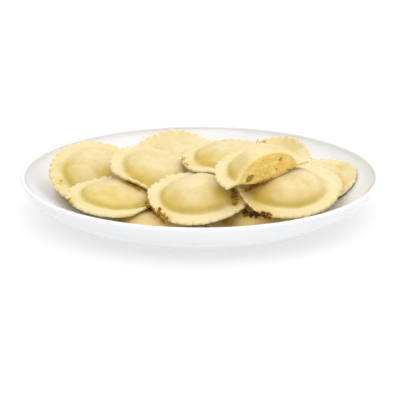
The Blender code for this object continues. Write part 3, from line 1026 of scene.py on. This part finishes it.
def cut_face(mesh, normal, spot):
    """Cut away a closed mesh beyond a plane, and close the cut."""
    bm = bmesh.new()
    bm.from_mesh(mesh)
    everything = list(bm.verts) + list(bm.edges) + list(bm.faces)
    bmesh.ops.bisect_plane(
        bm, geom=everything, dist=WELD, plane_co=spot, plane_no=normal, clear_outer=True
    )
    bmesh.ops.holes_fill(bm, edges=[edge for edge in bm.edges if edge.is_boundary], sides=0)
    bmesh.ops.recalc_face_normals(bm, faces=bm.faces)
    bm.to_mesh(mesh)
    bm.free()


class Cut:
    """The upright plane that the open raviolo is cut along, in its own frame."""

    def __init__(self, solid, lie):
        """The plane's direction is that of the solid's largest flat face."""
        areas = {}
        for face in solid.data.polygons:
            key = tuple(round(number, 2) for number in face.normal)
            areas[key] = areas.get(key, 0.0) + face.area
        widest = Vector(max(areas, key=areas.get)).normalized()
        flat = Vector((widest.dot(lie.right), widest.dot(lie.away), 0))
        self.normal = flat.normalized()
        self.along = Vector((0, 0, 1)).cross(self.normal)

    def spot(self, along, up, proud=0.0):
        """A place on the cut, in millimetres along it and up from the border's level."""
        return self.along * along * MM + Vector((0, 0, up * MM)) + self.normal * (CUT_OFFSET + proud)

    def stain(self, points):
        """How much the filling has coloured the dough, most at the cut."""
        return bell((CUT_OFFSET - points @ np.array(self.normal)) / STAIN_WIDTH)


def open_dough(mesh, cut, pattern, material):
    """Cut the dough through, take out the room for the filling and soften the edges."""
    room = pattern.make("room")
    set_places(room, places(room) * ROOM_SHARE)
    cut_face(mesh, cut.normal, cut.normal * CUT_OFFSET)
    hollow = in_scene("room", room)
    settings = {"operation": "DIFFERENCE", "solver": "EXACT", "object": hollow}
    opened = modified(mesh, material, ("BOOLEAN", settings))
    bpy.data.objects.remove(hollow)
    return softened(opened, material)


def cut_filling(cut, pattern, material):
    """The filling in the open raviolo, rough where the knife went through."""
    mesh = pattern.make("squash_filling")
    cut_face(mesh, cut.normal, cut.normal * (CUT_OFFSET + FILLING_PROUD))
    soft = softened(mesh, material)
    points = places(soft)
    normal = np.array(cut.normal)
    near = passing("near_cut", points @ normal)
    rough = waves("ragged_cut", points) + waves("grainy_cut", points)
    points += normal * (near * rough)[:, None]
    outward = points - normal * (points @ normal)[:, None]
    outward /= np.linalg.norm(outward, axis=1)[:, None] + 1e-9
    spill = near * passing("spilling", points[:, 2]) * (SPILL + waves("spill", points))
    points += outward * spill[:, None]
    set_places(soft, points)
    store(soft, "cut_face", near)
    return soft


def leaf_bit(name, cut, measures, material):
    """One larger bit of cooked leaf, crumpled, pressed into the cut face."""
    along, up, long, wide, thick, turn = measures
    bm = bmesh.new()
    bmesh.ops.create_icosphere(bm, subdivisions=4, radius=1.0)
    own = Vector((along, up, 0))
    for vertex in bm.verts:
        lumps = noise.noise(vertex.co * 1.7 + own) * 0.45 + noise.noise(vertex.co * 4.5 + own) * 0.16
        vertex.co *= 1 + lumps
        vertex.co.z += 0.5 * noise.noise(Vector((vertex.co.x * 1.5, vertex.co.y * 1.5, along)))
    facing = Matrix((cut.along, Vector((0, 0, 1)), cut.normal)).transposed()
    tilt = (facing @ Matrix.Rotation(math.radians(turn), 3, "Z")).to_4x4()
    shape = Matrix.Diagonal((long / 2 * MM, wide / 2 * MM, thick / 2 * MM, 1))
    bm.transform(Matrix.Translation(cut.spot(along, up, FILLING_PROUD)) @ tilt @ shape)
    mesh = bpy.data.meshes.new(name)
    bm.to_mesh(mesh)
    bm.free()
    mesh.shade_smooth()
    mesh.materials.append(material)
    return mesh


# ---- crumbs and butter


def crumb_cloud(pieces):
    """Points where crumbs lie: straight lines from the front, each to the first surface met."""
    bpy.context.view_layer.update()
    everything = bpy.context.evaluated_depsgraph_get()
    trees = [BVHTree.FromObject(piece, everything) for piece in pieces]
    heading = Vector((0, math.cos(VIEW_TILT), -math.sin(VIEW_TILT)))
    rightward = Vector((1, 0, 0))
    upward = rightward.cross(heading)
    chance = np.random.default_rng(CRUMB_SEED)
    spots, facings, lengths, tones = [], [], [], []
    for across, up, long, wide, slope, count, size, tone in CRUMB_PATCHES.values():
        way = math.radians(slope)
        for _ in range(count):
            along = chance.uniform(-0.5, 0.5) * long
            aside = chance.normal(0.0, CRUMB_SPREAD) * wide
            start = VIEW_CENTRE - heading * THROW_DISTANCE
            start += rightward * (across + along * math.cos(way) - aside * math.sin(way)) * MM
            start += upward * (up + along * math.sin(way) + aside * math.cos(way)) * MM
            hits = [hit for hit in (tree.ray_cast(start, heading) for tree in trees) if hit[0]]
            if not hits:
                continue
            spot, facing = min(hits, key=lambda hit: hit[3])[:2]
            length = size * MM * chance.uniform(*CRUMB_SIZES)
            spots.append(spot + facing * length * CRUMB_LIFT)
            facings.extend(facing)
            lengths.append(length)
            tones.append(min(1.0, max(0.0, tone + chance.normal(0.0, TONE_SPREAD))))
    mesh = bpy.data.meshes.new("crumb_cloud")
    mesh.from_pydata(spots, [], [])
    mesh.attributes.new("facing", "FLOAT_VECTOR", "POINT").data.foreach_set("vector", facings)
    store(mesh, "length", lengths)
    store(mesh, "tone", tones)
    return mesh


def butter_and_gap_shade(mesh, cloud):
    """How much brown butter, darkened as painted shade in the gaps, colours each point of a piece, by
    how near the crumbs lie.
    """
    tree = KDTree(len(cloud.vertices))
    for index, vertex in enumerate(cloud.vertices):
        tree.insert(vertex.co, index)
    tree.balance()
    gaps = []
    for vertex in mesh.vertices:
        nearest = tree.find_n(vertex.co, BUTTER_CRUMBS)
        gaps.append(sum(distance for _, _, distance in nearest) / BUTTER_CRUMBS)
    return BUTTER_STRENGTH * bell(np.array(gaps) / BUTTER_REACH)


# ---- pieces


def topping(piece):
    """Attach a piece to the root body, so that it moves with the plate."""
    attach(piece, "root")


def make_plate():
    plate = new_piece("coupe_plate", plate_pattern(porcelain()).make("coupe_plate"))
    turn_outward(plate.data)
    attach(plate, "root")
    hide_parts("plate")
    return plate


def make_filling(cut, lie, pattern, material):
    """The filling of the open raviolo, with the herbs in it."""
    inside = cut_filling(cut, pattern, material)
    lie.lay(inside)
    stuffed = new_piece("squash_filling", inside)
    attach(stuffed, "root")
    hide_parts("raviolo_filling")
    leaf = herb()
    topping(new_piece("herb_flecks", flake_pattern(leaf).make("herb_flecks", Over=stuffed)))
    for name, measures in LEAF_BITS.items():
        bit = leaf_bit(name, cut, measures, leaf)
        lie.lay(bit)
        topping(new_piece(name, bit))


def make_ravioli(nodes):
    """Press and lay a raviolo for each of its solids, and open the one that is cut."""
    pasta = dough()
    pattern = raviolo_pattern(pasta)
    pieces = []
    names = sorted(name for name in nodes if name.startswith("raviolo_") and name != "raviolo_filling")
    for seed, name in enumerate(names):
        is_cut = name == "raviolo_cut"
        if is_cut:
            lie = Lie(nodes[name], nodes["raviolo_filling"], SHEET_THICKNESS + SHEET_ALLOWANCE)
        else:
            lie = Lie(nodes[name], nodes[name], 0.0)
        dents = DENTS.get(name, ())
        mesh = pattern.make(name + "_dough", Dome_Height=FULL_DOME_HEIGHT if is_cut else lie.dome)
        set_places(mesh, press(mesh, lie, seed, dents))
        turn_outward(mesh)
        if is_cut:
            cut = Cut(nodes[name], lie)
            filling = stuffing()
            pillow = pillow_pattern(filling)
            mesh = open_dough(mesh, cut, pillow, pasta)
            make_filling(cut, lie, pillow, filling)
        points = places(mesh)
        colours = masks(points, lie, dents)
        if is_cut:
            colours["stain"] = cut.stain(points) * (1 - colours["border"])
        for label, numbers in colours.items():
            store(mesh, label, numbers)
        lie.lay(mesh)
        piece = new_piece(name + "_dough", mesh)
        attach(piece, "root")
        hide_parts(name)
        pieces.append(piece)
    return pieces


def make_crumbs(pieces):
    """Browned crumbs over the front of the heap, the darkest standing in for the shade of the gaps as
    painted shade, and the brown butter that they lie in, darkened as painted shade.
    """
    cloud = new_piece("crumb_cloud", crumb_cloud(pieces))
    for piece in pieces:
        store(piece.data, "butter_and_gap_shade", butter_and_gap_shade(piece.data, cloud.data))
    crumbs = crumb_pattern(browned_crumb()).make("browned_crumbs", Cloud=cloud)
    bpy.data.objects.remove(cloud)
    topping(new_piece("browned_crumbs", crumbs))


# ---- stage


def make_floor():
    mesh = bpy.data.meshes.new("floor")
    corners = [(x * FLOOR_SPAN, y * FLOOR_SPAN, 0) for x, y in ((-1, -1), (1, -1), (1, 1), (-1, 1))]
    mesh.from_pydata(corners, [], [(0, 1, 2, 3)])
    mesh.materials.append(table_top())
    new_piece("floor", mesh)


def aimed(name, data, spot):
    """A lamp or a camera at a spot, facing the dish."""
    thing = in_scene(name, data)
    thing.location = spot
    thing.rotation_euler = (VIEW_CENTRE - thing.location).to_track_quat("-Z", "Y").to_euler()
    return thing


def make_light():
    """The room's soft glow, and two softboxes."""
    world = bpy.data.worlds.new("soft_room")
    bpy.context.scene.world = world
    world.use_nodes = True
    room = Tree(world.node_tree)
    place = room.add("ShaderNodeTexCoord").outputs["Generated"]
    direction = room.add("ShaderNodeSeparateXYZ", {"Vector": place})
    glow = 0.0
    for axis, sign, strength in ROOM_LIGHT:
        facing = room.calc("MAXIMUM", room.times(direction.outputs[axis], sign), 0.0)
        glow = room.plus(glow, room.times(facing, facing, strength))
    background = room.tree.nodes["Background"]
    room.feed((1.0, 1.0, 1.0, 1.0), background.inputs["Color"])
    room.feed(glow, background.inputs["Strength"])
    for name, (spot, power) in SOFTBOXES.items():
        data = bpy.data.lights.new(name, "AREA")
        data.shape = "DISK"
        data.size = SOFTBOX_SIZE
        data.energy = power
        aimed(name, data, spot)


def make_camera():
    data = bpy.data.cameras.new("camera")
    data.sensor_width = 36
    data.lens = LENS
    data.shift_y = LENS_SHIFT
    data.clip_end = 100
    stand_off = Vector((0, -math.cos(VIEW_TILT), math.sin(VIEW_TILT)))
    bpy.context.scene.camera = aimed("camera", data, VIEW_CENTRE + stand_off * VIEW_DISTANCE)
    bpy.context.scene.view_settings.view_transform = "Standard"


laid = [make_plate(), *make_ravioli(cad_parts)]
make_crumbs(laid)
make_floor()
make_light()
make_camera()
